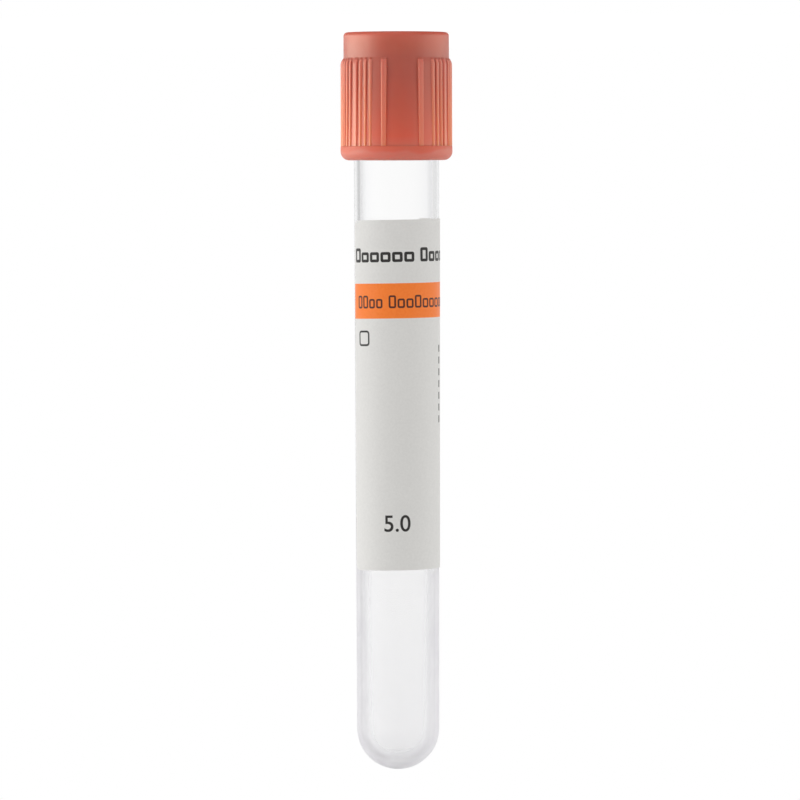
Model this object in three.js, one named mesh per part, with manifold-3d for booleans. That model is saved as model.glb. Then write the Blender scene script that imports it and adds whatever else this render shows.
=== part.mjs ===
// A 13 x 100 mm evacuated blood collection tube: a round-bottomed clear tube, a ribbed push-on cap that
// holds a rubber stopper, and a paper label wound round the tube.
//
// Millimetres. Each piece is drawn the way the tube is held in use, cap up, round the tube's axis +Z with
// the front towards -Y. The round end can't stand, so the assembly is then turned over to stand on the flat
// top of its cap: origin at the middle of that face, +Z up, front still towards -Y.
import * as THREE from "three";
import { mergeVertices } from "three/addons/utils/BufferGeometryUtils.js";
import Module from "manifold-3d";

const wasm = await Module();
wasm.setup();

// ---- driving dimensions (mm, degrees) ------------------------------------------------------------------

const FIT_GAP = 0.03; // between pieces that bear on each other

const TUBE = {
  length: 100, // bottom tip to rim
  rimRadius: 6.38, // outside, at the rim
  rimWall: 1.0,
  outerDraft: 0.15, // the bore and the outside both narrow towards the bottom
  boreDraft: 0.2,
  bottomWall: 1.25,
  rimRound: 0.3,
};

const CAP = {
  height: 19,
  engagement: 9.2, // how far the skirt reaches down past the tube's rim
  skirtClearance: 0.32, // between the tube's rim and the skirt's bore
  wall: 1.15, // of the skirt, behind the ribs
  topThickness: 1.4,
  topRound: 0.55,
  bandHeight: 2.1, // plain band round the mouth
  bandRound: 1.3,
  mouthChamfer: 0.2,
  needleHoleRadius: 4.6,
  needleHoleRound: 0.4,
  sleeveWall: 0.9, // short sleeve that hangs from the top and keeps the stopper down
};

// The snap ring inside the cap, under the stopper's flange: it carries the stopper off with the cap.
const SNAP = {
  overlap: 0.35, // how far it reaches under the flange
  height: 0.9,
  flangeClearance: 0.05,
};

// The grip: ribs that stand on the collar, above the band. Azimuths are from the middle of a thumb panel.
const GRIP = {
  turn: 6.8, // the first panel's middle, from the front towards +X
  sides: 2, // the pattern repeats this many times round the cap
  ribHeight: 0.45,
  bandStep: 0.03, // the band stands this far proud of the ribs
  collarShown: 3.8, // plain collar above the ribs
  leadIn: 1.4, // height over which a rib rises from the collar
  flankLean: 8, // degrees; a rib's flanks lean in from its foot
  taper: 0.3, // share by which a rib narrows from its top to its foot
  panelHalf: 15.2, // the smooth thumb panel leans out from the collar down to the band
  panelHollow: 0.55, // share of the panel's rise that its edges lack
  broad: [{ at: 19.8, width: 6.6 }, { at: 54.9, width: 6.6 }],
  fine: [{ first: 35.4, last: 47.8, count: 3 }, { first: 64, last: 116, count: 9 }],
  fineWidth: 3.5,
};

const STOPPER = {
  plugLength: 7.2, // below the tube's rim
  plugLeadIn: 0.8,
  flangeThickness: 2.9,
  edgeRound: 0.3,
  bossHeight: 2.3, // stands up inside the cap's sleeve
  bossClearance: 0.06,
  targetRadius: 3.3, // shallow recess that the needle goes through
  targetFlatRadius: 2.5,
  targetDepth: 0.6,
  plugWall: 2.0, // round the hollow underside, where the needle's tip ends
  membrane: 3.8, // rubber left between the target and the hollow
};

const LABEL = {
  belowCap: 8.83, // from the cap's mouth to the upper edge, at the front
  height: 51.95,
  window: 15, // clear strip left between its two ends, to see the blood through
  startTurn: -75, // azimuth of its leading edge
  skew: 0.85, // out of square, rising towards +X
  thickness: 0.09,
  cornerRadius: 1.2,
};

const SIDES = { tube: 48, cap: 60, stopper: 36 }; // facets round each turned piece
const ARC_STEPS = 3; // facets in a quarter of a small round
const DOME_STEPS = 8; // facets from the tube's tip to its side

// ---- shared shapes -------------------------------------------------------------------------------------

const radians = THREE.MathUtils.degToRad;
const degrees = THREE.MathUtils.radToDeg;

// A path in the plane (radius, height) of straight lines and arcs.
class Profile {
  constructor(radius, height) {
    this.points = [new THREE.Vector2(radius, height)];
  }
  to(radius, height) {
    if (this.points.at(-1).distanceTo({ x: radius, y: height }) > 1e-6)
      this.points.push(new THREE.Vector2(radius, height));
    return this;
  }
  arc(radius, height, size, from, to, steps = ARC_STEPS) {
    const curve = new THREE.EllipseCurve(
      radius, height, size, size, radians(from), radians(to), to < from);
    for (const point of curve.getPoints(steps)) this.to(Math.max(point.x, 0), point.y);
    return this;
  }
}

// Turns a closed profile round +Z.
function turned(profile, sides) {
  return new THREE.LatheGeometry(profile.points, sides).rotateX(Math.PI / 2);
}

// Skins closed sections that have the same number of points, and closes both ends.
function lofted(sections) {
  const count = sections[0].length;
  const positions = sections.flat().flatMap((point) => point.toArray());
  const index = [];
  for (let i = 0; i + 1 < sections.length; i++)
    for (let k = 0; k < count; k++) {
      const a = i * count + k;
      const b = i * count + ((k + 1) % count);
      index.push(a, a + count, b, b, a + count, b + count);
    }
  const end = (sections.length - 1) * count;
  for (let k = 1; k + 1 < count; k++) index.push(0, k, k + 1, end, end + k + 1, end + k);
  const geometry = new THREE.BufferGeometry();
  geometry.setAttribute("position", new THREE.Float32BufferAttribute(positions, 3));
  geometry.setIndex(index);
  geometry.computeVertexNormals();
  return geometry;
}

// A closed geometry as a body that can be joined and cut.
function solid(geometry) {
  const bare = geometry.clone();
  bare.deleteAttribute("normal");
  bare.deleteAttribute("uv");
  const merged = mergeVertices(bare, 1e-4);
  return new wasm.Manifold(new wasm.Mesh({
    numProp: 3,
    vertProperties: merged.attributes.position.array,
    triVerts: new Uint32Array(merged.index.array),
  }));
}

function geometryOf(body) {
  const mesh = body.getMesh();
  const geometry = new THREE.BufferGeometry();
  geometry.setAttribute("position", new THREE.BufferAttribute(mesh.vertProperties, 3));
  geometry.setIndex(new THREE.BufferAttribute(mesh.triVerts, 1));
  geometry.computeVertexNormals();
  return geometry;
}

// A point by its radius, azimuth (from the front, towards +X) and height.
function polar(radius, azimuth, height) {
  const angle = radians(azimuth);
  return new THREE.Vector3(radius * Math.sin(angle), -radius * Math.cos(angle), height);
}

// ---- tube ----------------------------------------------------------------------------------------------

const boreAtRim = TUBE.rimRadius - TUBE.rimWall;
const outerRadiusAt = (z) => TUBE.rimRadius - (TUBE.length - z) * Math.tan(radians(TUBE.outerDraft));
const boreRadiusAt = (z) => boreAtRim - (TUBE.length - z) * Math.tan(radians(TUBE.boreDraft));

// The ball that ends a tapered wall: it touches the taper, and the height of the tip is given.
function endBall(radiusAtTip, draft) {
  return (radiusAtTip * Math.cos(radians(draft))) / (1 - Math.sin(radians(draft)));
}
const tipBall = endBall(outerRadiusAt(0), TUBE.outerDraft);
const boreBall = endBall(boreRadiusAt(TUBE.bottomWall), TUBE.boreDraft);

function makeTube() {
  const { length, rimRound, rimRadius, bottomWall, outerDraft, boreDraft } = TUBE;
  const rimHeight = length - rimRound;
  const profile = new Profile(0, 0)
    .arc(0, tipBall, tipBall, -90, -outerDraft, DOME_STEPS)
    .arc(rimRadius - rimRound, rimHeight, rimRound, 0, 90)
    .arc(boreAtRim + rimRound, rimHeight, rimRound, 90, 180)
    .arc(0, bottomWall + boreBall, boreBall, -boreDraft, -90, DOME_STEPS);
  return turned(profile, SIDES.tube);
}

// ---- cap, standing on its mouth ------------------------------------------------------------------------

const skirtBore = TUBE.rimRadius + CAP.skirtClearance;
const collarRadius = skirtBore + CAP.wall;
const ribRadius = collarRadius + GRIP.ribHeight;
const bandRadius = ribRadius + GRIP.bandStep;
const flangeSeat = CAP.engagement + FIT_GAP;
const flangeTop = flangeSeat + STOPPER.flangeThickness;
const sleeveEnd = flangeTop + FIT_GAP;
const snapTop = flangeSeat - FIT_GAP;
const flangeRadius = skirtBore + SNAP.overlap - SNAP.flangeClearance;

// The grip's sections, from inside the band to its top: the share of the way down from the top, and how
// far a rib has risen, which is a quarter ellipse at its top and straight below.
function gripSections() {
  const top = CAP.height - GRIP.collarShown;
  const run = top - CAP.bandHeight;
  const sections = [{ z: CAP.bandHeight / 2, drop: 1, rise: 1 }, { z: CAP.bandHeight, drop: 1, rise: 1 }];
  for (let i = 0; i <= ARC_STEPS; i++) {
    const angle = radians((i / ARC_STEPS) * 90);
    const below = GRIP.leadIn * (1 - Math.sin(angle));
    sections.push({ z: top - below, drop: below / run, rise: Math.cos(angle) });
  }
  return sections;
}

// Ribs and panels start inside the collar's wall, and their top ends sink into its surface.
const gripRoot = collarRadius - CAP.wall / 3;
const gripRadius = (share) => collarRadius - FIT_GAP + (GRIP.ribHeight + FIT_GAP) * share;

function makeRib(middle, width) {
  const sections = gripSections().map(({ z, drop, rise }) => {
    const crest = gripRadius(rise);
    const half = (width / 2) * (1 + GRIP.taper * (0.5 - drop));
    const lean = degrees(Math.tan(radians(GRIP.flankLean)) * (crest - gripRoot)) / ribRadius;
    return [
      polar(gripRoot, middle + half, z),
      polar(crest, middle + half - lean, z),
      polar(crest, middle - half + lean, z),
      polar(gripRoot, middle - half, z),
    ];
  });
  return solid(lofted(sections));
}

// The thumb panel: flush with the collar at its top, leaning out to the band at the middle of its foot.
function makePanel(middle) {
  const steps = 3 * ARC_STEPS;
  const sections = gripSections().map(({ z, drop }) => {
    const section = [-1, 1].map((side) => polar(gripRoot, middle + side * GRIP.panelHalf, z));
    for (let i = 0; i <= steps; i++) {
      const side = 1 - (2 * i) / steps;
      const radius = gripRadius(drop * (1 - GRIP.panelHollow * side ** 2));
      section.push(polar(radius, middle + side * GRIP.panelHalf, z));
    }
    return section;
  });
  return solid(lofted(sections));
}

// Azimuth and width of the ribs on one side of a panel, and of the whole turn up to the next panel.
function ribPattern() {
  const turn = 360 / GRIP.sides;
  const ribs = GRIP.broad.flatMap((rib) => [rib, { at: turn - rib.at, width: rib.width }]);
  for (const { first, last, count } of GRIP.fine) {
    const mirrored = last < turn / 2;
    for (let i = 0; i < count; i++) {
      const at = first + ((last - first) * i) / (count - 1);
      ribs.push({ at, width: GRIP.fineWidth });
      if (mirrored) ribs.push({ at: turn - at, width: GRIP.fineWidth });
    }
  }
  return ribs;
}

function makeCap() {
  const { height, topRound, topThickness, bandHeight, bandRound, mouthChamfer } = CAP;

  const body = new Profile(0, 0)
    .arc(bandRadius - bandRound, bandRound, bandRound, -90, 0, 2 * ARC_STEPS)
    .to(bandRadius, bandHeight)
    .to(collarRadius, bandHeight)
    .arc(collarRadius - topRound, height - topRound, topRound, 0, 90)
    .to(0, height);

  const grip = [];
  for (let side = 0; side < GRIP.sides; side++) {
    const panel = GRIP.turn + (side * 360) / GRIP.sides;
    grip.push(makePanel(panel));
    for (const { at, width } of ribPattern()) grip.push(makeRib(panel + at, width));
  }

  const chamber = skirtBore + SNAP.overlap;
  const inside = new Profile(0, -1)
    .to(skirtBore + mouthChamfer + 1, -1)
    .to(skirtBore, mouthChamfer)
    .to(skirtBore, snapTop - SNAP.height)
    .to(skirtBore - SNAP.overlap / 3, snapTop - SNAP.height / 2)
    .to(skirtBore - SNAP.overlap / 3, snapTop - SNAP.height / 4)
    .to(chamber, snapTop)
    .to(chamber, height - topThickness)
    .to(CAP.needleHoleRadius + CAP.sleeveWall, height - topThickness)
    .to(CAP.needleHoleRadius + CAP.sleeveWall, sleeveEnd)
    .to(0, sleeveEnd);
  const hole = new Profile(0, sleeveEnd - 1)
    .to(CAP.needleHoleRadius, sleeveEnd - 1)
    .arc(CAP.needleHoleRadius + CAP.needleHoleRound, height - CAP.needleHoleRound,
      CAP.needleHoleRound, 180, 90)
    .to(CAP.needleHoleRadius + CAP.needleHoleRound, height + 1)
    .to(0, height + 1);

  const shell = grip.reduce((whole, piece) => whole.add(piece), solid(turned(body, SIDES.cap)));
  return geometryOf(
    shell.subtract(solid(turned(inside, SIDES.cap))).subtract(solid(turned(hole, SIDES.cap))));
}

// ---- stopper, in the cap's frame -----------------------------------------------------------------------

function makeStopper() {
  const { plugLength, plugLeadIn, edgeRound, bossHeight, targetDepth } = STOPPER;
  const plugEnd = CAP.engagement - plugLength;
  const rimInCap = TUBE.length - CAP.engagement;
  const plugRadiusAt = (z) => boreRadiusAt(rimInCap + z) - FIT_GAP;
  const hollowRadius = plugRadiusAt(plugEnd) - STOPPER.plugWall;
  const bossRadius = CAP.needleHoleRadius - STOPPER.bossClearance;
  const bossTop = flangeTop + bossHeight;
  const hollowTop = bossTop - targetDepth - STOPPER.membrane;

  const profile = new Profile(0, hollowTop)
    .arc(0, hollowTop - hollowRadius, hollowRadius, 90, 0, 2 * ARC_STEPS)
    .to(hollowRadius, plugEnd)
    .to(plugRadiusAt(plugEnd) - plugLeadIn, plugEnd)
    .to(plugRadiusAt(plugEnd + plugLeadIn), plugEnd + plugLeadIn)
    .to(plugRadiusAt(flangeSeat), flangeSeat)
    .arc(flangeRadius - edgeRound, flangeSeat + edgeRound, edgeRound, -90, 0)
    .arc(flangeRadius - edgeRound, flangeTop - edgeRound, edgeRound, 0, 90)
    .to(bossRadius, flangeTop)
    .arc(bossRadius - edgeRound, bossTop - edgeRound, edgeRound, 0, 90)
    .to(STOPPER.targetRadius, bossTop)
    .to(STOPPER.targetFlatRadius, bossTop - targetDepth)
    .to(0, bossTop - targetDepth);
  return turned(profile, SIDES.stopper);
}

// ---- label ---------------------------------------------------------------------------------------------

// A flat strip with round corners, wound a little out of square on the tapered tube.
function makeLabel() {
  const { height, thickness, cornerRadius, startTurn, skew } = LABEL;
  const top = TUBE.length - CAP.engagement - LABEL.belowCap;
  const middleRadius = outerRadiusAt(top - height / 2);
  const width = 2 * Math.PI * middleRadius - LABEL.window;
  const turnPerLength = degrees(1 / middleRadius);

  // Places along the strip: close together at the round corners, one for each facet of the tube between.
  const corner = [];
  for (let i = 0; i <= ARC_STEPS; i++)
    corner.push(cornerRadius * (1 - Math.cos(radians((i / ARC_STEPS) * 90))));
  const straight = width - 2 * cornerRadius;
  const facets = Math.ceil((straight * turnPerLength * SIDES.tube) / 360);
  const places = [...corner];
  for (let i = 1; i < facets; i++) places.push(cornerRadius + (straight * i) / facets);
  places.push(...corner.map((place) => width - place).reverse());

  const sections = places.map((place) => {
    const inCorner = Math.max(0, cornerRadius - Math.min(place, width - place));
    const setBack = cornerRadius - Math.sqrt(cornerRadius ** 2 - inCorner ** 2);
    const azimuth = startTurn + place * turnPerLength;
    const rise = Math.tan(radians(skew)) * middleRadius * radians(azimuth);
    const low = top - height + rise + setBack;
    const high = top + rise - setBack;
    return [
      polar(outerRadiusAt(low) + FIT_GAP, azimuth, low),
      polar(outerRadiusAt(low) + FIT_GAP + thickness, azimuth, low),
      polar(outerRadiusAt(high) + FIT_GAP + thickness, azimuth, high),
      polar(outerRadiusAt(high) + FIT_GAP, azimuth, high),
    ];
  });
  return lofted(sections);
}

// ---- assembly ------------------------------------------------------------------------------------------

const clearPet = new THREE.MeshStandardMaterial({
  color: 0xeef2f4, roughness: 0.05, metalness: 0, transparent: true, opacity: 0.3 });
const coralPlastic = new THREE.MeshStandardMaterial({ color: 0xd9674e, roughness: 0.42, metalness: 0 });
const greyRubber = new THREE.MeshStandardMaterial({ color: 0x77736f, roughness: 0.7, metalness: 0 });
const labelPaper = new THREE.MeshStandardMaterial({ color: 0xe4e3df, roughness: 0.6, metalness: 0 });

function piece(name, geometry, material) {
  const mesh = new THREE.Mesh(geometry, material);
  mesh.name = name;
  return mesh;
}

const closure = new THREE.Group();
closure.position.z = TUBE.length - CAP.engagement;
closure.add(piece("cap", makeCap(), coralPlastic), piece("stopper", makeStopper(), greyRubber));

const assembly = new THREE.Group();
assembly.add(piece("tube", makeTube(), clearPet), piece("label", makeLabel(), labelPaper), closure);

// Turned over about Y, so that the front stays the front, and stood on the cap's top.
assembly.rotation.y = Math.PI;
assembly.position.z = closure.position.z + CAP.height;

const part = new THREE.Group();
part.add(assembly);

export default part;
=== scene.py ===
import math
import bmesh
import bpy
from mathutils import Matrix, Vector


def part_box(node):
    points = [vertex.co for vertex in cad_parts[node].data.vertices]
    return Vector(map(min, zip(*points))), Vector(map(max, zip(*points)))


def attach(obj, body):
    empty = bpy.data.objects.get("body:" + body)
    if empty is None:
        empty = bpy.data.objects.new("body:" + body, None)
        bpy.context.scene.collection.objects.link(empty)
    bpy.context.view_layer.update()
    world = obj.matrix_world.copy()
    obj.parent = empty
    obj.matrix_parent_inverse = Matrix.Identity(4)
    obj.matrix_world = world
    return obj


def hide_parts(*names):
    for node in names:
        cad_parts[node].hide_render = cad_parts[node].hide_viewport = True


# A 13 x 100 mm blood collection tube that stands on the flat top of its cap. The camera hangs upside
# down, so that -X is on its right and -Z at its top. The front of the label looks to -Y.

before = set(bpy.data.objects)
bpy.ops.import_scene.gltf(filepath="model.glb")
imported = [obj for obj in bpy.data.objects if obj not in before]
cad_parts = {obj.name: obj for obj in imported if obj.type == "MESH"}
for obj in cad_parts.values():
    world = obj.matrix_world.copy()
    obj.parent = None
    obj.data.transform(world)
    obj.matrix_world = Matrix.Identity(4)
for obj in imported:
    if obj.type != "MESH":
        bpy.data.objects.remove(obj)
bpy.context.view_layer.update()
mm = 0.001
tiny = 0.001 * mm  # places closer than this are one

capLow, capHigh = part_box("cap")
tubeLow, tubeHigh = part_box("tube")
stopperLow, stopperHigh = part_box("stopper")


def linear(hexColour):
    channels = [int(hexColour[i:i + 2], 16) / 255 for i in (1, 3, 5)]
    return [c / 12.92 if c <= 0.04045 else ((c + 0.055) / 1.055) ** 2.4 for c in channels] + [1]


def addNode(tree, kind, values=None, links=None, **settings):
    node = tree.nodes.new(kind)
    for name, value in settings.items():
        setattr(node, name, value)
    for socket, value in (values or {}).items():
        node.inputs[socket].default_value = value
    for socket, source in (links or {}).items():
        tree.links.new(source, node.inputs[socket])
    return node


def addRamp(tree, source, stops):
    # colours by position, the positions rising
    node = addNode(tree, "ShaderNodeValToRGB", links={"Fac": source})
    elements = node.color_ramp.elements
    elements.remove(elements[1])
    elements[0].position = stops[0][0]
    elements[0].color = linear(stops[0][1])
    for position, colour in stops[1:]:
        elements.new(position).color = linear(colour)
    return node


def newMaterial(name):
    material = bpy.data.materials.new(name)
    material.use_nodes = True
    material.node_tree.nodes.clear()
    return material, material.node_tree


def useOnly(piece):
    bpy.ops.object.select_all(action="DESELECT")
    piece.select_set(True)
    bpy.context.view_layer.objects.active = piece


def editOnly(piece):
    useOnly(piece)
    bpy.ops.object.mode_set(mode="EDIT")


def pick(piece, test, kind="VERT"):
    # selects the vertices, or the faces by their middles, that pass the test
    bpy.ops.mesh.select_mode(type=kind)
    bpy.ops.mesh.select_all(action="DESELECT")
    mesh = bmesh.from_edit_mesh(piece.data)
    if kind == "FACE":
        for face in mesh.faces:
            face.select_set(test(face.calc_center_median()))
    else:
        for vert in mesh.verts:
            if test(vert.co):
                vert.select_set(True)
    mesh.select_flush_mode()
    bmesh.update_edit_mesh(piece.data)


def paintFaces(piece, index, test):
    # gives the faces that pass the test another of the piece's materials
    editOnly(piece)
    pick(piece, test, "FACE")
    piece.active_material_index = index
    bpy.ops.object.material_slot_assign()
    bpy.ops.object.mode_set(mode="OBJECT")


def arc(radius, height, size, start, end, steps):
    # rings of a round in a turned outline, from one angle to another: 0 is outwards and 90 is up
    return [(radius + size * math.cos(math.radians(start + (end - start) * i / steps)),
             height + size * math.sin(math.radians(start + (end - start) * i / steps)))
            for i in range(steps + 1)]


def straight(start, end, steps=1, hold=0.06 * mm, most=0.3):
    # rings between two rounds: one just past each end holds the shading flat, the rest share the stretch
    first = min(hold / math.dist(start, end), most)
    shares = [first] + [i / steps for i in range(1, steps)] + [1 - first]
    return [(start[0] + (end[0] - start[0]) * share, start[1] + (end[1] - start[1]) * share)
            for share in shares]


def joinRings(*stretches, spacing=6 * mm):
    # rounds one after another, with straight stretches between them
    rings = list(stretches[0])
    for stretch in stretches[1:]:
        rings += straight(rings[-1], stretch[0], 1 + int(math.dist(rings[-1], stretch[0]) / spacing))
        rings += stretch
    return rings


def turnPiece(name, rings, sides, closed):
    # a circle extruded and scaled ring by ring; a closed outline comes back to its first ring
    outline = [rings[0]]
    for ring in rings[1:] + ([rings[0]] if closed else []):
        if math.dist(ring, outline[-1]) > tiny:
            outline.append(ring)
    startsAtPole = outline[0][0] < tiny
    first = outline[1] if startsAtPole else outline[0]
    bpy.ops.object.select_all(action="DESELECT")
    bpy.ops.mesh.primitive_circle_add(vertices=sides, radius=first[0], location=(0, 0, first[1]))
    piece = bpy.context.object
    piece.name = name
    piece.data.name = name
    bpy.ops.object.transform_apply(location=True, rotation=True, scale=True)
    bpy.ops.object.mode_set(mode="EDIT")
    bpy.ops.mesh.select_all(action="SELECT")
    if startsAtPole:
        bpy.ops.mesh.extrude_edges_indiv()
        bpy.ops.transform.translate(value=(0, 0, outline[0][1] - first[1]))
        bpy.ops.mesh.merge(type="CENTER")
        pick(piece, lambda co: co.xy.length > first[0] / 2)
        outline = outline[1:]
    for (radius, height), (nextRadius, nextHeight) in zip(outline, outline[1:]):
        bpy.ops.mesh.extrude_edges_indiv()
        bpy.ops.transform.translate(value=(0, 0, nextHeight - height))
        if nextRadius < tiny:
            bpy.ops.mesh.merge(type="CENTER")
        else:
            grow = nextRadius / radius
            bpy.ops.transform.resize(value=(grow, grow, 1), center_override=(0, 0, nextHeight))
    bpy.ops.mesh.select_all(action="SELECT")
    bpy.ops.mesh.remove_doubles(threshold=tiny)
    bpy.ops.mesh.normals_make_consistent(inside=False)
    bpy.ops.object.mode_set(mode="OBJECT")
    return piece


def finishPiece(piece, material, smoothAngle, body, slotName, *nodes):
    useOnly(piece)
    bpy.ops.object.shade_smooth_by_angle(angle=math.radians(smoothAngle))
    if material:
        piece.data.materials.clear()
        piece.data.materials.append(material)
    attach(piece, body)
    if nodes:
        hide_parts(*nodes)
    print("made", piece.name, len(piece.data.polygons), "faces")


tubeSizes = {
    "sides": 256,
    "wallAtRim": 1.0 * mm,
    "outerDraft": 0.15,  # degrees, so that it leaves the mould
    "boreDraft": 0.2,
    "bottomWall": 1.25 * mm,
    "rimRound": 0.3 * mm,
    "gateRadius": 0.55 * mm,  # a dimple at the tip, where the plastic ran in
    "gateFloor": 0.85,  # share of its radius that the dimple's floor has
    "gateDepth": 0.06 * mm,
    "middleTaper": 0.45 * mm,  # that the middle of the wall loses from the rim to the round end
}
filmSizes = {
    "from": 70 * mm,  # the dried film begins here, behind the label
    "full": 76 * mm,
    "cover": (0.09, 0.27),  # share of the light that it scatters, there and at the tip, seen square on
    "slantFrom": 0.2,  # it looks thicker where it is seen aslant
    "slantTo": 0.6,
    "slantCover": 0.62,
    "through": 0.5,  # share of the scattered light that goes on inwards
    "drift": 4 * mm,  # clouds of dried spray
}
# painted shade, by how far from square on it is seen: the plastic is tinted darker aslant, for the tube's
# dark edges; there is also more plastic to cross there
petPaintedEdgeShade = [(0.0, "#FFFFFF"), (0.2, "#FEFEFE"), (0.4, "#FBFBFC"), (0.56, "#F6F6F7"), (0.68, "#F0F0F2"),
           (0.8, "#E9E9EC"), (1.0, "#D8D8DD")]


def makePet(name, filmed):
    # PET, injection moulded and clear: almost mirror smooth, it bends the light behind it towards its
    # edges. Clot activator, sprayed in and dried, leaves a thin milky film that hazes the lower half and
    # evens out its edges; it is drawn on the outside, where it takes the light evenly.
    material, tree = newMaterial(name)
    slant = addNode(tree, "ShaderNodeLayerWeight", {"Blend": 0.5})
    # painted shade: the clear plastic darker where it is seen aslant
    edgeShade = addRamp(tree, slant.outputs["Facing"], petPaintedEdgeShade)
    plastic = addNode(tree, "ShaderNodeBsdfPrincipled", {"Roughness": 0.015, "IOR": 1.575,
                      "Transmission Weight": 1}, {"Base Color": edgeShade.outputs["Color"]})
    surface = plastic.outputs[0]
    if filmed:
        place = addNode(tree, "ShaderNodeTexCoord")
        height = addNode(tree, "ShaderNodeSeparateXYZ", links={"Vector": place.outputs["Object"]})
        thicker = addNode(tree, "ShaderNodeMapRange", {"From Min": filmSizes["from"],
                          "From Max": tubeHigh.z, "To Min": filmSizes["cover"][0],
                          "To Max": filmSizes["cover"][1]}, {"Value": height.outputs["Z"]})
        starts = addNode(tree, "ShaderNodeMapRange", {"From Min": filmSizes["from"],
                         "From Max": filmSizes["full"]}, {"Value": height.outputs["Z"]})
        aslant = addNode(tree, "ShaderNodeMapRange", {"From Min": filmSizes["slantFrom"],
                         "From Max": filmSizes["slantTo"], "To Max": filmSizes["slantCover"]},
                         {"Value": slant.outputs["Facing"]})
        whole = addNode(tree, "ShaderNodeMath", links={0: thicker.outputs["Result"],
                        1: aslant.outputs["Result"]}, operation="ADD")
        cover = addNode(tree, "ShaderNodeMath", links={0: whole.outputs[0],
                        1: starts.outputs["Result"]}, operation="MULTIPLY")
        drift = addNode(tree, "ShaderNodeTexNoise", {"Scale": 1 / filmSizes["drift"], "Detail": 3},
                        {"Vector": place.outputs["Object"]})
        tone = addRamp(tree, drift.outputs["Fac"], [(0.3, "#F4F2F5"), (0.7, "#FCFBFC")])
        lit = addNode(tree, "ShaderNodeBsdfTranslucent", links={"Color": tone.outputs["Color"]})
        milk = addNode(tree, "ShaderNodeBsdfDiffuse", links={"Color": tone.outputs["Color"]})
        both = addNode(tree, "ShaderNodeMixShader", {0: 1 - filmSizes["through"]},
                       {1: lit.outputs[0], 2: milk.outputs[0]})
        hazy = addNode(tree, "ShaderNodeMixShader", links={0: cover.outputs[0], 1: surface,
                       2: both.outputs[0]})
        surface = hazy.outputs[0]
    through = addNode(tree, "ShaderNodeBsdfTransparent", {"Color": linear("#F4F5F6")})
    light = addNode(tree, "ShaderNodeLightPath")
    shown = addNode(tree, "ShaderNodeMixShader", links={0: light.outputs["Is Shadow Ray"],
                    1: surface, 2: through.outputs[0]})
    addNode(tree, "ShaderNodeOutputMaterial", links={"Surface": shown.outputs[0]})
    return material


def makeTube():
    size = tubeSizes
    rim, tip = tubeLow.z, tubeHigh.z
    rimRadius = tubeHigh.x
    boreAtRim = rimRadius - size["wallAtRim"]
    lean, boreLean = math.radians(size["outerDraft"]), math.radians(size["boreDraft"])
    endBall = lambda radius, draft: radius * math.cos(draft) / (1 - math.sin(draft))
    ball = endBall(rimRadius - (tip - rim) * math.tan(lean), lean)
    boreBall = endBall(boreAtRim - (tip - size["bottomWall"] - rim) * math.tan(boreLean), boreLean)
    edge = size["rimRound"]
    gate = size["gateRadius"]
    gateTurn = 90 - math.degrees(math.asin(gate / ball))
    rings = joinRings(arc(0, tip - size["bottomWall"] - boreBall, boreBall, 90, size["boreDraft"], 24),
                      arc(boreAtRim + edge, rim + edge, edge, 180, 270, 6),
                      arc(rimRadius - edge, rim + edge, edge, -90, 0, 6),
                      arc(0, tip - ball, ball, size["outerDraft"], gateTurn, 32))
    dimple = rings[-1][1] - size["gateDepth"]
    rings += [(gate * size["gateFloor"], dimple), (0, dimple)]
    return turnPiece("moulded_tube", rings, size["sides"], closed=False)


tube = makeTube()
tube.data.materials.append(makePet("clearMouldedPet", filmed=False))
tube.data.materials.append(makePet("filmedMouldedPet", filmed=True))
middleWall = tubeHigh.x - tubeSizes["wallAtRim"] / 2
domeStart = tubeHigh.z - middleWall


def isOutsideTube(co):
    # further out than the middle of the wall, which tapers and ends in a ball
    fromMiddle = math.dist((co.xy.length, max(co.z, domeStart)), (0, domeStart))
    down = min(co.z, domeStart) - tubeLow.z
    return fromMiddle > middleWall - tubeSizes["middleTaper"] * down / domeStart


paintFaces(tube, 1, isOutsideTube)
finishPiece(tube, None, 40, "tube_body", "clear_pet", "tube")


capSizes = {
    "columns": 720,  # twice as many as degrees: each rib's edge falls on one
    "collarRadius": 7.85 * mm,
    "topRound": 0.55 * mm,
    "topThickness": 1.4 * mm,
    "collarShown": 3.8 * mm,  # smooth, from the flat top to where the ribs start
    "leadIn": 1.0 * mm,  # length over which the ribs rise from the collar
    "leadSteps": 6,
    "bandHeight": 2.1 * mm,
    "bandRound": 1.3 * mm,
    "mouthChamfer": 0.2 * mm,
    "skirtBore": 6.7 * mm,
    "chamberRadius": 7.05 * mm,
    "snapRadius": 6.583 * mm,  # the ring that hooks under the stopper's flange
    "snapHeight": 0.9 * mm,
    "needleHole": 4.6 * mm,
    "needleHoleRound": 0.4 * mm,
    "sleeveWall": 0.9 * mm,
    "bossHeight": 2.3 * mm,  # the stopper's boss reaches this far into the sleeve
    "gap": 0.03 * mm,  # left between the sleeve's end and the stopper's flange
    "edgeRound": 0.1 * mm,  # on the small edges
    "turn": 6.8,  # degrees that the first thumb panel stands off the front
}
gripSizes = {
    "height": 0.45 * mm,
    "flank": 0.3,  # degrees at a rib's foot that keep the grooves' colour, without the ribs' painted sheen
    "rounding": {0.5: 0.62, 1.0: 0.9},  # share of the height, by degrees in from a rib's foot
    "groove": (0.25, 0.6),  # share of the height of a groove's floor, at its start and at the band
    "fine": (4.0, [35.5, 41.5, 48.0, 64.0, 70.5, 77.0, 83.5, 90.0]),  # width, places from a panel's middle
    "broad": (7.0, [20.0, 55.0]),
    "narrowing": 0.1,  # share of its width that a rib loses towards the band
    "panelHalf": 16.5,  # degrees from a thumb panel's middle to the foot of the first rib
    "panelHollow": 0.5,  # share of the height that a panel's edge lacks at the band
}

gripTop = capLow.z + capSizes["collarShown"]
gripFoot = capHigh.z - capSizes["bandHeight"]
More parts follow.
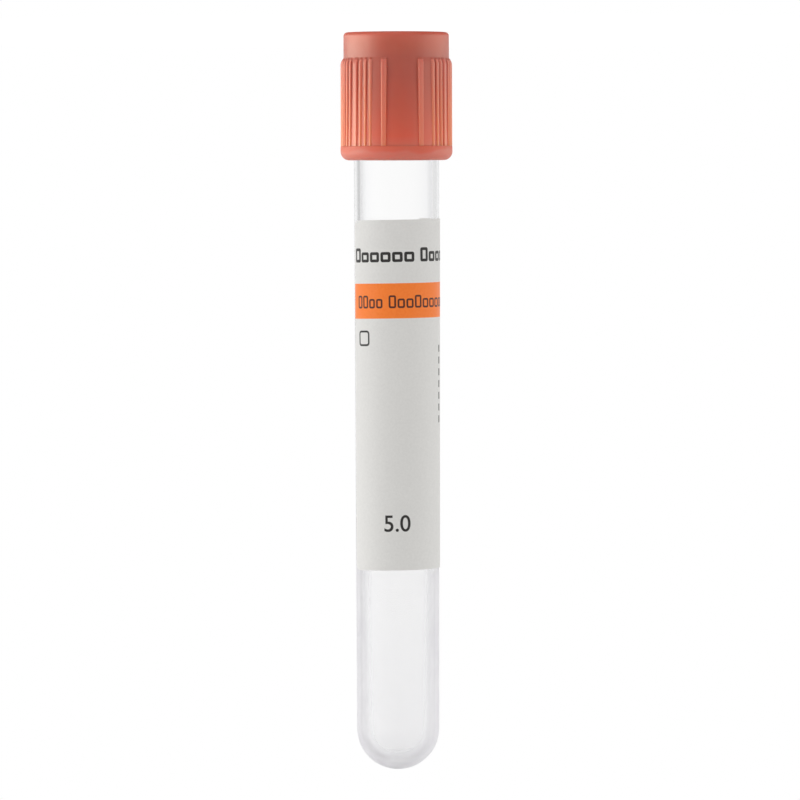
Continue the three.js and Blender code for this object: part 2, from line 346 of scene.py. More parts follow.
# rows of the lead-in, and the share of their height that the ribs have there
leadRows = [(gripTop + capSizes["leadIn"] * i / capSizes["leadSteps"],
             math.sin(math.radians(90 * i / capSizes["leadSteps"])))
            for i in range(capSizes["leadSteps"] + 1)]

# from the flat top to the mouth, painted light and shade: the collar is painted deeper for the shade of the
# grey rubber it lies on, and the thin skirt is painted brighter for the light that comes through it
capPaintedLightTones = [(0.06, "#D0624A"), (0.17, "#C1573D"), (0.25, "#B8513B"), (0.42, "#BA4C34"), (0.64, "#C64D2F"),
            (0.87, "#D85230"), (0.98, "#D8654E"), (1.0, "#D67564")]
# the ribs stand thicker; they are painted paler, the fine ones most: painted sheen, for the side light on
# their rounded crests
ribPaintedSheenTones = [(0.06, "#D5685A"), (0.3, "#DA8470"), (0.64, "#E4825E"), (1.0, "#EA8354")]
broadPaintedSheenTones = [(0.06, "#CB6453"), (0.3, "#CD6955"), (0.64, "#D66D50"), (1.0, "#E0724C")]
# name, tones, gloss, roughness: the walls, the fine ribs, the band and the broad ribs
capFinishes = [
    ("coralMouldedPolyethylene", capPaintedLightTones, 0.8, 0.42),
    ("palePaintedSheenPolyethylene", ribPaintedSheenTones, 0.8, 0.42),
    ("dullMouldedPolyethylene", capPaintedLightTones, 0.5, 0.62),
    ("softPaintedSheenPolyethylene", broadPaintedSheenTones, 0.8, 0.42),
]


def makePolyethylene(name, tones, gloss, roughness):
    # polyethylene, injection moulded in a spark-eroded mould: satin, a little waxy, with light
    # going a short way in, and hardly any speckle
    material, tree = newMaterial(name)
    place = addNode(tree, "ShaderNodeTexCoord")
    flow = addNode(tree, "ShaderNodeTexNoise", {"Scale": 1 / (5 * mm), "Detail": 2},
                   {"Vector": place.outputs["Object"]})  # the melt's colour drifts over about 5 mm
    height = addNode(tree, "ShaderNodeSeparateXYZ", links={"Vector": place.outputs["Object"]})
    down = addNode(tree, "ShaderNodeMapRange", {"From Min": capLow.z, "From Max": capHigh.z},
                   {"Value": height.outputs["Z"]})
    drift = addNode(tree, "ShaderNodeMath", {1: 0.12}, {0: flow.outputs["Fac"]},
                    operation="MULTIPLY")  # by up to 0.12 of the way down
    share = addNode(tree, "ShaderNodeMath", links={0: down.outputs["Result"], 1: drift.outputs[0]},
                    operation="ADD")
    tone = addRamp(tree, share.outputs[0], tones)
    grain = addNode(tree, "ShaderNodeTexNoise", {"Scale": 1 / (0.12 * mm), "Detail": 2},
                    {"Vector": place.outputs["Object"]})  # spark-eroded grain, 0.12 mm
    bump = addNode(tree, "ShaderNodeBump", {"Strength": 0.12, "Distance": 0.01 * mm},
                   {"Height": grain.outputs["Fac"]})
    plastic = addNode(tree, "ShaderNodeBsdfPrincipled", {"Roughness": roughness, "IOR": 1.51,
                      "Specular IOR Level": gloss, "Subsurface Weight": 0.7,
                      "Subsurface Radius": (1.0, 0.4, 0.28), "Subsurface Scale": 1.3 * mm},
                      {"Base Color": tone.outputs["Color"], "Normal": bump.outputs["Normal"]})
    addNode(tree, "ShaderNodeOutputMaterial", links={"Surface": plastic.outputs[0]})
    return material


def fromPanel(co):
    # degrees round the axis from the middle of the nearer thumb panel
    turn = abs(math.degrees(math.atan2(co.x, -co.y)))
    return round(min(turn, 180 - turn) * 2) / 2


def ribOffset(co):
    # degrees from the middle of the rib that the point stands on, and how far in from the rib's foot
    turn = math.degrees(math.atan2(co.x, -co.y))
    if abs(turn) > 90:
        turn = turn - math.copysign(180, turn)
    for width, places in (gripSizes["fine"], gripSizes["broad"]):
        for place in places:
            for middle in (place, -place):
                offset = round((turn - middle) * 2) / 2
                for way in (offset, offset - 180, offset + 180):
                    if abs(way) <= width / 2:
                        return way, width / 2 - abs(way)
    return 0, 0


def isBroad(co):
    width, places = gripSizes["broad"]
    return any(abs(fromPanel(co) - place) < width / 2 for place in places)


def ribLevel(co):
    # what is at a place: a rib, as a share of its height there, a groove's floor or a thumb panel
    inside = ribOffset(co)[1]
    if inside > 0:
        return gripSizes["rounding"].get(inside, 1.0)
    return "groove" if fromPanel(co) > gripSizes["broad"][1][0] else "panel"


def makeCapShell():
    size = capSizes
    top, mouth = capLow.z, capHigh.z
    collar, band = size["collarRadius"], capHigh.x
    rimSeat = tubeLow.z
    sleeveEnd = stopperLow.z + size["bossHeight"] - size["gap"]
    hole, holeRound = size["needleHole"], size["needleHoleRound"]
    sleeve = hole + size["sleeveWall"]
    topRound, bandRound, small = size["topRound"], size["bandRound"], size["edgeRound"]
    bore, chamber = size["skirtBore"], size["chamberRadius"]
    ceiling = top + size["topThickness"]
    rings = joinRings(arc(hole + holeRound, top + holeRound, holeRound, 180, 270, 6),
                      arc(collar - topRound, top + topRound, topRound, -90, 0, 8))
    rings += straight(rings[-1], (collar, gripTop))
    rings += [(collar, row) for row, rise in leadRows]
    rings += [(collar, gripFoot)]
    rings = joinRings(rings,
                      arc(band - small, gripFoot + small, small, -90, 0, 3),
                      arc(band - bandRound, mouth - bandRound, bandRound, 0, 90, 12),
                      [(bore + size["mouthChamfer"], mouth)],
                      [(bore, mouth - size["mouthChamfer"])],
                      [(bore, rimSeat + size["snapHeight"])],
                      [(size["snapRadius"], rimSeat + size["snapHeight"] / 2)],
                      [(size["snapRadius"], rimSeat + size["snapHeight"] / 4)],
                      [(chamber, rimSeat)],
                      arc(chamber - 2 * small, ceiling + 2 * small, 2 * small, 0, -90, 4),
                      [(sleeve + 2 * small, ceiling)],
                      [(sleeve, ceiling + 2 * small)],
                      arc(sleeve - small, sleeveEnd - small, small, 0, 90, 3),
                      arc(hole + small, sleeveEnd - small, small, 90, 180, 3))
    rings += straight(rings[-1], rings[0])
    return turnPiece("ribbed_cap", rings, size["columns"], closed=True)


def paintCap(piece):
    # the walls keep the first of the finishes
    for finish in capFinishes:
        piece.data.materials.append(makePolyethylene(*finish))
    paleFrom = gripTop + capSizes["leadIn"] / 3
    isOutside = lambda co: co.xy.length > (capSizes["skirtBore"] + capSizes["collarRadius"]) / 2
    isRib = lambda co: (paleFrom < co.z < gripFoot and isOutside(co)
                        and ribOffset(co)[1] > gripSizes["flank"])
    # the ribs take the paler tones of painted sheen, the broad ones a little less
    paintFaces(piece, 1, isRib)
    paintFaces(piece, 3, lambda co: isRib(co) and isBroad(co))
    paintFaces(piece, 2, lambda co: co.z > gripFoot and isOutside(co))


def raiseGrip(piece):
    grip = gripSizes
    collar = capSizes["collarRadius"]
    isWall = lambda co, row: abs(co.z - row) < tiny and abs(co.xy.length - collar) < tiny
    editOnly(piece)

    # ribs: their columns are scaled outwards row by row, rising over the lead-in and full below it
    for row, rise in leadRows[1:] + [(gripFoot, 1.0)]:
        groove = grip["groove"][1] if row == gripFoot else grip["groove"][0]
        levels = {1.0: 1.0, "groove": groove, **{level: level for level in grip["rounding"].values()}}
        for level, share in levels.items():
            pick(piece, lambda co: isWall(co, row) and ribLevel(co) == level)
            grow = (collar + grip["height"] * rise * share) / collar
            bpy.ops.transform.resize(value=(grow, grow, 1), center_override=(0, 0, row))

    # thumb panels: flush at the top, leaning out to the band, most at their middle
    for half in range(int(grip["panelHalf"] * 2) + 1):
        turn = half / 2
        pick(piece, lambda co: isWall(co, gripFoot) and fromPanel(co) == turn)
        out = grip["height"] * (1 - grip["panelHollow"] * (turn / grip["panelHalf"]) ** 2)
        grow = (collar + out) / collar
        bpy.ops.transform.resize(value=(grow, grow, 1), center_override=(0, 0, gripFoot))

    # ribs grow narrower towards the band
    columns = int(grip["broad"][0])
    for half in range(-columns, columns + 1):
        offset = half / 2
        if offset:
            pick(piece, lambda co: abs(co.z - gripFoot) < tiny
                 and collar - tiny < co.xy.length < collar + grip["height"] + tiny
                 and ribOffset(co)[0] == offset and ribOffset(co)[1] >= 0)
            bpy.ops.transform.rotate(value=math.radians(offset * grip["narrowing"]), orient_axis="Z",
                                     center_override=(0, 0, 0))
    bpy.ops.mesh.select_all(action="SELECT")
    bpy.ops.transform.rotate(value=math.radians(capSizes["turn"]), orient_axis="Z",
                             center_override=(0, 0, 0))
    bpy.ops.object.mode_set(mode="OBJECT")


cap = makeCapShell()
paintCap(cap)
raiseGrip(cap)
finishPiece(cap, None, 38, "closure", "coral_plastic", "cap")


stopperSizes = {
    "sides": 160,
    "flangeThickness": 2.9 * mm,
    "bossRadius": 4.54 * mm,
    "edgeRound": 0.3 * mm,
    "targetRadius": 3.3 * mm,
    "targetFlat": 2.5 * mm,
    "targetDepth": 0.6 * mm,
    "plugAtRim": 5.35 * mm,
    "plugDraft": 0.2,  # degrees, as the tube's bore
    "plugLeadIn": 0.8 * mm,
    "plugWall": 2.0 * mm,
    "membrane": 3.8 * mm,
}


def makeRubber():
    # bromobutyl rubber, compression moulded: dull, softly mottled, with a fine dusty grain
    material, tree = newMaterial("greyButylRubber")
    place = addNode(tree, "ShaderNodeTexCoord")
    mottle = addNode(tree, "ShaderNodeTexNoise", {"Scale": 1 / (1.5 * mm), "Detail": 4},
                     {"Vector": place.outputs["Object"]})  # filler clouds, 1.5 mm
    tone = addRamp(tree, mottle.outputs["Fac"], [(0.3, "#6F6C69"), (0.75, "#7E7B77")])
    grain = addNode(tree, "ShaderNodeTexNoise", {"Scale": 1 / (0.08 * mm), "Detail": 3},
                    {"Vector": place.outputs["Object"]})  # dust, 0.08 mm
    bump = addNode(tree, "ShaderNodeBump", {"Strength": 0.35, "Distance": 0.012 * mm},
                   {"Height": grain.outputs["Fac"]})
    rubber = addNode(tree, "ShaderNodeBsdfPrincipled", {"Roughness": 0.68, "IOR": 1.52},
                     {"Base Color": tone.outputs["Color"], "Normal": bump.outputs["Normal"]})
    addNode(tree, "ShaderNodeOutputMaterial", links={"Surface": rubber.outputs[0]})
    return material


def makeStopper():
    size = stopperSizes
    top, plugEnd = stopperLow.z, stopperHigh.z
    flange, edge = stopperHigh.x, size["edgeRound"]
    flangeTop = top + capSizes["bossHeight"]
    flangeSeat = flangeTop + size["flangeThickness"]
    draft = math.tan(math.radians(size["plugDraft"]))
    plugAt = lambda height: size["plugAtRim"] - (height - tubeLow.z) * draft
    hollow = plugAt(plugEnd) - size["plugWall"]
    hollowTop = top + size["targetDepth"] + size["membrane"]
    rings = joinRings([(0, top + size["targetDepth"])], [(size["targetFlat"], top + size["targetDepth"])],
                      [(size["targetRadius"], top)],
                      arc(size["bossRadius"] - edge, top + edge, edge, -90, 0, 5),
                      [(size["bossRadius"], flangeTop)],
                      arc(flange - edge, flangeTop + edge, edge, -90, 0, 5),
                      arc(flange - edge, flangeSeat - edge, edge, 0, 90, 5),
                      [(plugAt(flangeSeat), flangeSeat)],
                      [(plugAt(plugEnd - size["plugLeadIn"]), plugEnd - size["plugLeadIn"])],
                      [(plugAt(plugEnd) - size["plugLeadIn"], plugEnd)], [(hollow, plugEnd)],
                      arc(0, hollowTop + hollow, hollow, 0, -90, 12))
    return turnPiece("rubber_stopper", rings, size["sides"], closed=False)


finishPiece(makeStopper(), makeRubber(), 35, "closure", "grey_rubber", "stopper")


labelSizes = {
    "top": 27.83 * mm,  # edge nearer the cap, at the front
    "height": 51.95 * mm,
    "window": 15 * mm,  # clear strip left between its two ends
    "startTurn": 75.0,  # degrees from the front to its leading edge, towards +X
    "skew": 0.85,  # degrees out of square
    "thickness": 0.09 * mm,
    "gap": 0.03 * mm,
    "cornerRadius": 1.2 * mm,
    "stripe": (37.22 * mm, 42.42 * mm),  # heights of its edges, at the front
    "cuts": 150,  # so that it follows the round
}


def makePaper(name, light, dark, roughness, seeThrough, glow=(0, "#FFFFFF")):
    # clay-coated label paper: an even, slightly mottled pale face with a soft sheen, fibres
    # just showing under the coat
    material, tree = newMaterial(name)
    place = addNode(tree, "ShaderNodeTexCoord")
    fibre = addNode(tree, "ShaderNodeTexNoise", {"Scale": 1 / (0.35 * mm), "Detail": 4},
                    {"Vector": place.outputs["Object"]})  # fibre flocks, 0.35 mm
    tone = addRamp(tree, fibre.outputs["Fac"], [(0.25, dark), (0.75, light)])
    bump = addNode(tree, "ShaderNodeBump", {"Strength": 0.1, "Distance": 0.01 * mm},
                   {"Height": fibre.outputs["Fac"]})
    face = addNode(tree, "ShaderNodeBsdfPrincipled", {"Roughness": roughness, "IOR": 1.5,
                   "Emission Strength": glow[0], "Emission Color": linear(glow[1])},
                   {"Base Color": tone.outputs["Color"], "Normal": bump.outputs["Normal"]})
    lit = addNode(tree, "ShaderNodeBsdfTranslucent", links={"Color": tone.outputs["Color"]})
    paper = addNode(tree, "ShaderNodeMixShader", {0: seeThrough}, {1: face.outputs[0], 2: lit.outputs[0]})
    addNode(tree, "ShaderNodeOutputMaterial", links={"Surface": paper.outputs[0]})
    return material


def labelRadius(height):
    # the label's inner face: the tube's side and the gap that the glue fills
    return (tubeHigh.x - (height - tubeLow.z) * math.tan(math.radians(tubeSizes["outerDraft"]))
            + labelSizes["gap"])


def wrapFlat(piece, radius):
    # winds a flat piece, drawn at y = 0, round the tube, leaning it with the tube's taper first
    middle = labelSizes["top"] + labelSizes["height"] / 2
    editOnly(piece)
    bpy.ops.mesh.select_all(action="SELECT")
    bpy.ops.transform.rotate(value=math.radians(tubeSizes["outerDraft"]), orient_axis="X",
                             center_override=(0, 0, middle))
    bpy.ops.object.mode_set(mode="OBJECT")
    bend = piece.modifiers.new("wind", "SIMPLE_DEFORM")
    bend.deform_method = "BEND"
    bend.deform_axis = "Z"
    bend.angle = piece.dimensions.x / radius
    bpy.ops.object.modifier_apply(modifier=bend.name)
    piece.location.y = -radius
    bpy.ops.object.transform_apply(location=True, rotation=True, scale=True)


def makeLabel():
    size = labelSizes
    middleRadius = labelRadius(size["top"] + size["height"] / 2)
    width = 2 * math.pi * middleRadius - size["window"]
    rightEnd = middleRadius * math.radians(size["startTurn"])
    slope = math.tan(math.radians(size["skew"]))
    bpy.ops.object.select_all(action="DESELECT")
    bpy.ops.mesh.primitive_plane_add(size=1, rotation=(math.radians(90), 0, 0),
                                     location=(rightEnd - width / 2, 0, size["top"] + size["height"] / 2))
    piece = bpy.context.object
    piece.name = "paper_label"
    piece.scale = (width, size["height"], 1)
    bpy.ops.object.transform_apply(location=True, rotation=True, scale=True)
    bpy.ops.object.mode_set(mode="EDIT")
    pick(piece, lambda co: co.x > 0)
    bpy.ops.transform.translate(value=(0, 0, slope * rightEnd))
    pick(piece, lambda co: co.x < 0)
    bpy.ops.transform.translate(value=(0, 0, slope * (rightEnd - width)))
    bpy.ops.mesh.select_all(action="SELECT")
    bpy.ops.mesh.bevel(offset=size["cornerRadius"], offset_type="OFFSET", segments=8, affect="VERTICES")
    for edge in size["stripe"]:
        bpy.ops.mesh.select_all(action="SELECT")
        bpy.ops.mesh.bisect(plane_co=(0, 0, edge), plane_no=(-slope, 0, 1))
    for cut in range(1, size["cuts"]):
        bpy.ops.mesh.select_all(action="SELECT")
        bpy.ops.mesh.bisect(plane_co=(rightEnd - width * cut / size["cuts"], 0, 0), plane_no=(1, 0, 0))
    bpy.ops.object.mode_set(mode="OBJECT")
    return piece, middleRadius, slope


label, middleRadius, slope = makeLabel()
paper = makePaper("coatedLabelPaper", "#E8E7E4", "#E2E1DE", 0.5, 0.06)
# painted light: the label's inner face glows, for the light that thin paper passes from its other face
paperBackGlow = makePaper("glowPaintedPaperBack", "#EFEDE9", "#E9E7E3", 0.8, 0.12, glow=(0.38, "#F4F2EE"))
# the stripe is printed in fluorescent orange, which gives back more red light than falls on it
orange = makePaper("orangePrintedStripe", "#F8842A", "#F27920", 0.42, 0.02, glow=(0.08, "#FF6A00"))
for material in (paper, orange, paperBackGlow):
    label.data.materials.append(material)
low, high = labelSizes["stripe"]
paintFaces(label, 1, lambda co: low < co.z - slope * co.x < high)
wrapFlat(label, middleRadius)
wall = label.modifiers.new("thickness", "SOLIDIFY")
wall.thickness = labelSizes["thickness"]
wall.offset = 1
bpy.ops.object.modifier_apply(modifier=wall.name)
# the inner face takes the painted glow
paintFaces(label, 2, lambda co: co.xy.length < labelRadius(co.z) + labelSizes["thickness"] / 2)
finishPiece(label, None, 40, "tube_body", "label_paper", "label")


# No words: outlined round-cornered boxes hold the place of the letters, one box a letter, with the size,
# weight and spacing of print. The only lettering is the plain number of millilitres.
printSizes = {
    "lift": 0.004 * mm,
    "thickness": 0.006 * mm,
    "step": 0.2 * mm,  # between cuts, so that it follows the round
    "corner": 0.3 * mm,
}
# turns are degrees from the front towards +X. A word is its first letter's turn, a letter's width, and
# the letters: I is a tall box and o a low one
boldLine = {"foot": 34.08 * mm, "stroke": 0.42 * mm, "gap": 0.23 * mm, "low": 1.5 * mm, "tall": 2.1 * mm,
            "words": [(70.0, 1.55 * mm, "Iooooo"), (-32.7, 1.4 * mm, "Iooo")]}
fineLine = {"foot": 40.9 * mm, "stroke": 0.27 * mm, "gap": 0.22 * mm, "low": 1.4 * mm, "tall": 1.9 * mm,
            "words": [(62.0, 1.02 * mm, "IIoo"), (11.0, 1.1 * mm, "IooIooooo")]}
plainMark = {"turn": 50.0, "middle": 45.33 * mm, "side": 2.3 * mm, "stroke": 0.28 * mm, "corner": 0.5 * mm}
number = {"body": "5.0", "turn": 0.4, "foot": 73.99 * mm, "size": 3.45 * mm, "bolder": 0.03 * mm,
          "curveSteps": 6}
sideColumn = {"turn": -76.0, "from": 47.1 * mm, "step": 1.75 * mm, "count": 7,
              "size": (0.5 * mm, 1.05 * mm), "corner": 0.1 * mm}
fillInRules = {"turns": [-104.0, -119.0, -134.0], "middle": 61.0 * mm, "size": (0.14 * mm, 30 * mm)}


def makeInk(name, dark, light):
    # flexographic ink on coated paper: thin, even and a little glossier than the paper
    material, tree = newMaterial(name)
    place = addNode(tree, "ShaderNodeTexCoord")
    cover = addNode(tree, "ShaderNodeTexNoise", {"Scale": 1 / (0.25 * mm), "Detail": 3},
                    {"Vector": place.outputs["Object"]})  # the ink's cover varies over 0.25 mm
    tone = addRamp(tree, cover.outputs["Fac"], [(0.3, dark), (0.75, light)])
    ink = addNode(tree, "ShaderNodeBsdfPrincipled", {"Roughness": 0.4, "IOR": 1.5},
                  {"Base Color": tone.outputs["Color"]})
    addNode(tree, "ShaderNodeOutputMaterial", links={"Surface": ink.outputs[0]})
    return material


def makeBox(width, height, corner, stroke=0):
    # a flat box that faces -Y, hollow when it has a stroke
    bpy.ops.object.select_all(action="DESELECT")
    bpy.ops.mesh.primitive_plane_add(size=1, rotation=(math.radians(90), 0, 0), location=(0, 0, 0))
    box = bpy.context.object
    box.scale = (width, height, 1)
    bpy.ops.object.transform_apply(location=True, rotation=True, scale=True)
    bpy.ops.object.mode_set(mode="EDIT")
    bpy.ops.mesh.select_all(action="SELECT")
    if corner:
        bpy.ops.mesh.bevel(offset=corner, offset_type="OFFSET", segments=4, affect="VERTICES")
    if stroke:
        bpy.ops.mesh.inset(thickness=stroke)
        bpy.ops.mesh.delete(type="FACE")
    bpy.ops.object.mode_set(mode="OBJECT")
    return box


def copyTo(box, length, height):
    # length runs along the label from the front towards +X
    useOnly(box)
    bpy.ops.object.duplicate()
    copy = bpy.context.object
    copy.location = (length, 0, height + slope * length)
    copy.rotation_euler.y = -math.atan(slope)
    return copy


def setLine(line):
    # a box for each letter of the line's words
    marks = []
    for turn, width, letters in line["words"]:
        boxes = {"o": makeBox(width, line["low"], printSizes["corner"], line["stroke"]),
                 "I": makeBox(width, line["tall"], printSizes["corner"], line["stroke"])}
        start = printRadius * math.radians(turn) - width / 2
        for i, letter in enumerate(letters):
            tall = line["tall"] if letter == "I" else line["low"]
            marks.append(copyTo(boxes[letter], start - i * (width + line["gap"]), line["foot"] - tall / 2))
        dropAll(boxes.values())
    return marks


def dropAll(pieces):
    bpy.ops.object.select_all(action="DESELECT")
    for piece in pieces:
        piece.select_set(True)
    bpy.ops.object.delete()


def setNumber():
    bpy.ops.object.select_all(action="DESELECT")
    bpy.ops.object.text_add(rotation=(math.radians(90), math.radians(180), 0))  # top of the print is -Z
    text = bpy.context.object
    text.data.body = number["body"]
    text.data.size = number["size"]
    text.data.offset = number["bolder"]
    text.data.align_x = "CENTER"
    text.data.resolution_u = number["curveSteps"]
    bpy.ops.object.convert(target="MESH")
    text = bpy.context.object
    length = printRadius * math.radians(number["turn"])
    text.location = (length, 0, number["foot"] + slope * length)
    text.rotation_euler.y -= math.atan(slope)
    return text


def setBlack():
    marks = setLine(boldLine)
    box = makeBox(plainMark["side"], plainMark["side"], plainMark["corner"], plainMark["stroke"])
    marks.append(copyTo(box, printRadius * math.radians(plainMark["turn"]), plainMark["middle"]))
    dash = makeBox(*sideColumn["size"], sideColumn["corner"])
    for i in range(sideColumn["count"]):
        marks.append(copyTo(dash, printRadius * math.radians(sideColumn["turn"]),
                            sideColumn["from"] + i * sideColumn["step"]))
    rule = makeBox(*fillInRules["size"], 0)
    for turn in fillInRules["turns"]:
        marks.append(copyTo(rule, printRadius * math.radians(turn), fillInRules["middle"]))
    dropAll([box, dash, rule])
    return marks + [setNumber()]


def printOn(name, marks, ink):
    # joins flat marks, cuts them up so that they bend, winds them on the label and gives them thickness
    bpy.ops.object.select_all(action="DESELECT")
    for mark in marks:
        mark.select_set(True)
    bpy.context.view_layer.objects.active = marks[0]
    bpy.ops.object.join()
    piece = bpy.context.object
    piece.name = name
    piece.data.name = name
    bpy.ops.object.transform_apply(location=True, rotation=True, scale=True)
    ends = [vert.co.x for vert in piece.data.vertices]
    cuts = int((max(ends) - min(ends)) / printSizes["step"])
    editOnly(piece)
    for cut in range(1, cuts):
        bpy.ops.mesh.select_all(action="SELECT")
        bpy.ops.mesh.bisect(plane_co=(min(ends) + cut * printSizes["step"], 0, 0), plane_no=(1, 0, 0))
    bpy.ops.object.mode_set(mode="OBJECT")
    wrapFlat(piece, printRadius)
    layer = piece.modifiers.new("thickness", "SOLIDIFY")
    layer.thickness = printSizes["thickness"]
    layer.offset = 1
    bpy.ops.object.modifier_apply(modifier=layer.name)
    finishPiece(piece, ink, 40, "tube_body", "label_paper")


printRadius = middleRadius + labelSizes["thickness"] + printSizes["lift"]
printOn("black_print", setBlack(), makeInk("blackLabelInk", "#232120", "#2F2C2A"))
printOn("brown_print", setLine(fineLine), makeInk("brownLabelInk", "#4A1F10", "#5A2A16"))


floorSizes = {
    "side": 1.2,  # metres
    "shade": 0.3,  # share of the floor's light that the object's shadow takes away
    "open": 0.56,  # how bright a white floor is lit away from the object
    "reach": 0.1,  # metres out from the object that the shadow is shown
}


def makeStage():
    # matt white laminate; it is seen as white, but keeps the object's soft shadow
    size = floorSizes
    bpy.ops.object.select_all(action="DESELECT")
    bpy.ops.mesh.primitive_plane_add(size=size["side"], location=(0, 0, 0))
    floor = bpy.context.object
    floor.name = "floor"
    material, tree = newMaterial("mattWhiteLaminate")
    matt = addNode(tree, "ShaderNodeBsdfDiffuse", {"Color": linear("#F4F4F4")})
    white = addNode(tree, "ShaderNodeEmission", {"Color": (1, 1, 1, 1), "Strength": 1})
    base = addNode(tree, "ShaderNodeEmission", {"Strength": 1 - size["shade"] * size["open"]})
    shade = addNode(tree, "ShaderNodeBsdfDiffuse", {"Color": (size["shade"],) * 3 + (1,)})
    shaded = addNode(tree, "ShaderNodeAddShader", links={0: base.outputs[0], 1: shade.outputs[0]})
    place = addNode(tree, "ShaderNodeTexCoord")
    distance = addNode(tree, "ShaderNodeVectorMath", links={0: place.outputs["Object"]}, operation="LENGTH")
    far = addNode(tree, "ShaderNodeMapRange", {"From Min": size["reach"] / 2, "From Max": size["reach"]},
                  {"Value": distance.outputs["Value"]})
    ray = addNode(tree, "ShaderNodeLightPath")
    lit = addNode(tree, "ShaderNodeMixShader", links={0: far.outputs["Result"], 1: shaded.outputs[0],
                  2: white.outputs[0]})
    seen = addNode(tree, "ShaderNodeMath", links={0: ray.outputs["Is Camera Ray"],
                   1: ray.outputs["Is Transmission Ray"]}, operation="MAXIMUM")
    both = addNode(tree, "ShaderNodeMixShader", links={0: seen.outputs[0], 1: matt.outputs[0],
                   2: lit.outputs[0]})
    addNode(tree, "ShaderNodeOutputMaterial", links={"Surface": both.outputs[0]})
    floor.data.materials.append(material)


# soft boxes light everything evenly and don't show in the gloss; the other lamps light the cap alone, the
# sheen lamps only its gloss, and the glow comes up through the floor; places and sizes in metres
lampSizes = {
    "leftBox": {"place": (0.36, 0.0, 0.06), "size": (0.55, 0.33), "power": 0.9},
    "rightBox": {"place": (-0.36, 0.0, 0.06), "size": (0.55, 0.33), "power": 0.46},
    "leftSheen": {"place": (0.358, 0.03, 0.04), "size": (0.55, 0.2), "power": 1.75, "capOnly": True,
                  "glossy": True, "diffuse": False},
    "leftFill": {"place": (0.34, -0.12, 0.06), "size": (0.3, 0.3), "power": 0.15, "capOnly": True},
    "rightSheen": {"place": (-0.358, 0.04, 0.04), "size": (0.55, 0.2), "power": 0.68, "capOnly": True,
                   "glossy": True, "diffuse": False},
    "tableGlow": {"place": (0.05, -0.05, -0.3), "size": (0.4, 0.3), "power": 0.55, "capOnly": True,
                  "glossy": True},
}
lampAim = Vector((0, 0, 0.055))
warmLight = (1, 0.92, 0.76)
capAlone = bpy.data.collections.new("capAlone")
capAlone.objects.link(cap)


def addLamp(name, place, size, power, capOnly=False, glossy=False, diffuse=True):
    bpy.ops.object.select_all(action="DESELECT")
    bpy.ops.object.light_add(type="AREA", location=place)
    lamp = bpy.context.object
    lamp.name = name
    lamp.data.shape = "RECTANGLE"
    lamp.data.size, lamp.data.size_y = size
    lamp.data.energy = power
    lamp.data.color = warmLight if capOnly else (1, 1, 1)
    lamp.rotation_euler = (lampAim - Vector(place)).to_track_quat("-Z", "Y").to_euler()
    lamp.visible_transmission = False  # the clear tube shows the room behind it, not the lamps
    lamp.visible_glossy = glossy
    lamp.visible_diffuse = diffuse
    if capOnly:
        lamp.light_linking.receiver_collection = capAlone
        lamp.light_linking.blocker_collection = capAlone


# brightness of the white room, by degrees from straight behind the object towards +X: dark cards stand
# behind it on both sides, and draw the tube's edges
roomSizes = {
    "clear": [(-180, 0.95), (-64, 0.98), (-58, 1.0), (-52, 0.89), (-46, 0.79), (-30, 0.76), (-24, 0.78),
              (-18, 0.9), (-6, 0.96), (0, 1.0), (18, 0.97), (24, 0.87), (32, 0.62), (38, 0.51), (44, 0.57),
              (50, 0.83), (56, 1.0), (64, 0.98), (76, 0.95), (180, 0.95)],
    "glossy": [(-180, 0.35), (-150, 0.5), (-125, 0.7), (-90, 0.9), (-40, 1.0), (60, 1.0), (125, 0.9),
               (150, 0.5), (180, 0.35)],
    "diffuse": [(-180, 0.73), (-90, 0.56), (0, 0.85), (90, 0.56), (180, 0.73)],
}
# a dark card hangs over it too, and draws the round end; by share of the way from level to overhead
overheadTones = [(0.0, "#FFFFFF"), (0.15, "#FAFAFA"), (0.28, "#E4E4E6"), (0.55, "#E0E0E2"),
                 (0.7, "#F4F4F4"), (1.0, "#F6F6F6")]


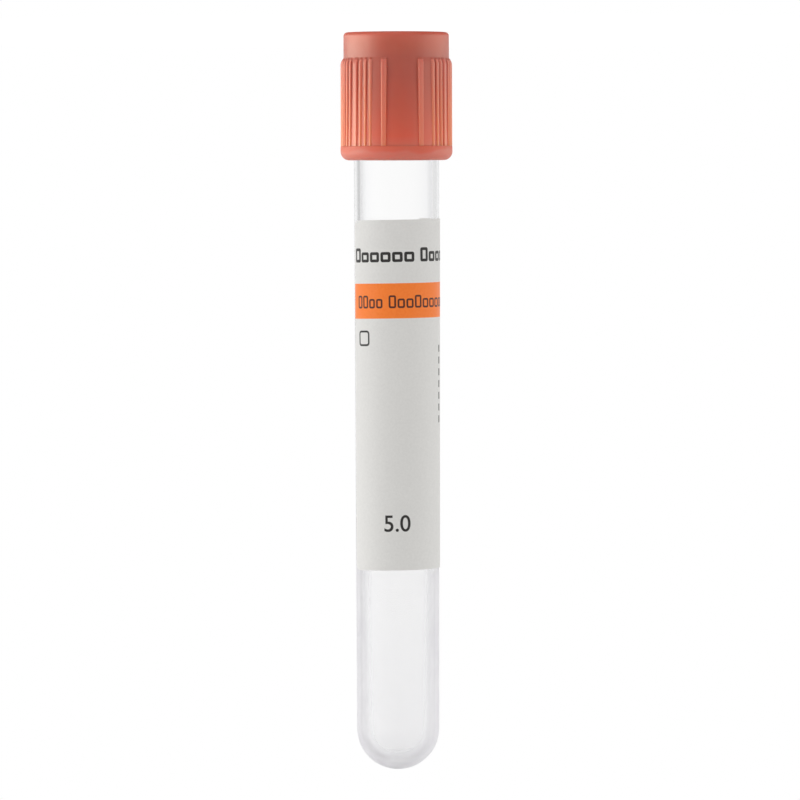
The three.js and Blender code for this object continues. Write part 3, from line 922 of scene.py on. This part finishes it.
def makeWorld():
    world = bpy.data.worlds.new("whiteRoom")
    bpy.context.scene.world = world
    world.use_nodes = True
    tree = world.node_tree
    tree.nodes.clear()
    ray = addNode(tree, "ShaderNodeLightPath")
    place = addNode(tree, "ShaderNodeTexCoord")
    axes = addNode(tree, "ShaderNodeSeparateXYZ", links={"Vector": place.outputs["Generated"]})
    turn = addNode(tree, "ShaderNodeMath", links={0: axes.outputs["X"], 1: axes.outputs["Y"]},
                   operation="ARCTAN2")  # 0 straight behind, + towards +X
    share = addNode(tree, "ShaderNodeMapRange", {"From Min": -math.pi, "From Max": math.pi},
                    {"Value": turn.outputs[0]})
    rise = addNode(tree, "ShaderNodeMath", links={0: axes.outputs["Z"]}, operation="ARCSINE")
    lift = addNode(tree, "ShaderNodeMapRange", {"From Min": 0.0, "From Max": math.pi / 2},
                   {"Value": rise.outputs[0]})
    overhead = addRamp(tree, lift.outputs["Result"], overheadTones)
    room = {}
    for kind, stops in roomSizes.items():
        tone = addNode(tree, "ShaderNodeValToRGB", links={"Fac": share.outputs["Result"]})
        elements = tone.color_ramp.elements
        elements.remove(elements[1])
        for turnAt, bright in stops:
            stop = elements.new((turnAt + 180) / 360) if turnAt > -180 else elements[0]
            stop.color = (bright,) * 3 + (1,)
        colour = tone.outputs["Color"]
        if kind == "clear":
            darker = addNode(tree, "ShaderNodeMix", {0: 1}, {6: colour, 7: overhead.outputs["Color"]},
                             data_type="RGBA", blend_type="MULTIPLY")
            colour = darker.outputs[2]
        room[kind] = addNode(tree, "ShaderNodeBackground", {"Strength": 1}, {"Color": colour})
    white = addNode(tree, "ShaderNodeBackground", {"Color": (1, 1, 1, 1), "Strength": 1})
    gloss = addNode(tree, "ShaderNodeMixShader", links={0: ray.outputs["Is Glossy Ray"],
                    1: room["diffuse"].outputs[0], 2: room["glossy"].outputs[0]})
    clear = addNode(tree, "ShaderNodeMixShader", links={0: ray.outputs["Is Transmission Ray"],
                    1: gloss.outputs[0], 2: room["clear"].outputs[0]})
    shown = addNode(tree, "ShaderNodeMixShader", links={0: ray.outputs["Is Camera Ray"],
                    1: clear.outputs[0], 2: white.outputs[0]})
    addNode(tree, "ShaderNodeOutputWorld", links={"Surface": shown.outputs[0]})


cameraSizes = {
    "distance": 0.95,  # metres
    "height": 24 * mm,
    "aimAside": -0.41 * mm,
    "aimHeight": 54.71 * mm,
    "lens": 287.0,
    "sensor": 36.0,
    "nearest": 0.01,
    "roll": 179.83,  # degrees: upside down, and hung a little out of true
}


def makeCamera():
    size = cameraSizes
    bpy.ops.object.select_all(action="DESELECT")
    place = Vector((size["aimAside"], -size["distance"], size["height"]))
    bpy.ops.object.camera_add(location=place)
    camera = bpy.context.object
    aim = Vector((size["aimAside"], 0, size["aimHeight"])) - place
    turn = aim.to_track_quat("-Z", "Y").to_matrix().to_4x4()
    camera.rotation_euler = (turn @ Matrix.Rotation(math.radians(size["roll"]), 4, "Z")).to_euler()
    camera.data.lens = size["lens"]
    camera.data.sensor_width = size["sensor"]
    camera.data.clip_start = size["nearest"]
    bpy.context.scene.camera = camera


makeStage()
for name, lamp in lampSizes.items():
    addLamp(name, **lamp)
makeWorld()
makeCamera()
bpy.context.scene.view_settings.view_transform = "Standard"
print("stage, lamps and camera set")
